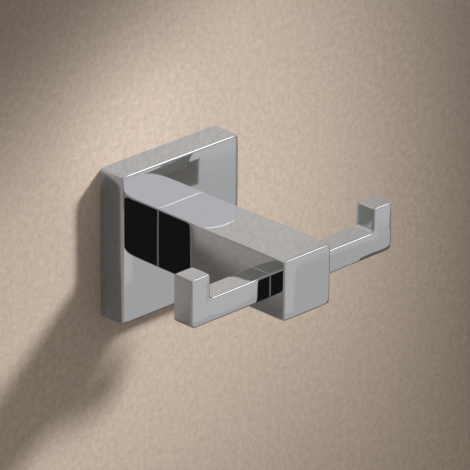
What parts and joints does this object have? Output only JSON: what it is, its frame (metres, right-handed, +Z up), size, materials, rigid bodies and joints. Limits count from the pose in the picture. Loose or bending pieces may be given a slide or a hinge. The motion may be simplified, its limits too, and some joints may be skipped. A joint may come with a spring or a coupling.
{
  "type": "double robe hook",
  "caption": "Wall hook with a square base, a square arm and a square hook on each side of it, chrome plated.",
  "frame": {"origin": "the middle of the square base on the wall plane", "axes": "+Y into the wall, +Z up, +X to the right along the wall; the arm reaches along -Y"},
  "size_m": [0.086, 0.093, 0.05],
  "materials": {
    "chrome_cast": "bright chrome plate on a polished zinc casting",
    "chrome_bar": "bright chrome plate on polished square brass bar",
    "bracket_steel": "zinc-plated pressed steel sheet",
    "zinc_steel": "bright zinc-plated steel",
    "spring_steel": "phosphated spring steel",
    "black_steel": "black oxide hardened steel"
  },
  "bodies": {
    "root": {"base_cover": "chrome_cast", "arm": "chrome_bar", "hook_left": "chrome_bar", "hook_right": "chrome_bar", "clamp_washer": "zinc_steel", "spring_washer": "spring_steel", "arm_screw": "zinc_steel", "wall_bracket": "bracket_steel", "wall_screw_left": "zinc_steel", "wall_screw_right": "zinc_steel", "set_screw": "black_steel"}
  },
  "joints": []
}
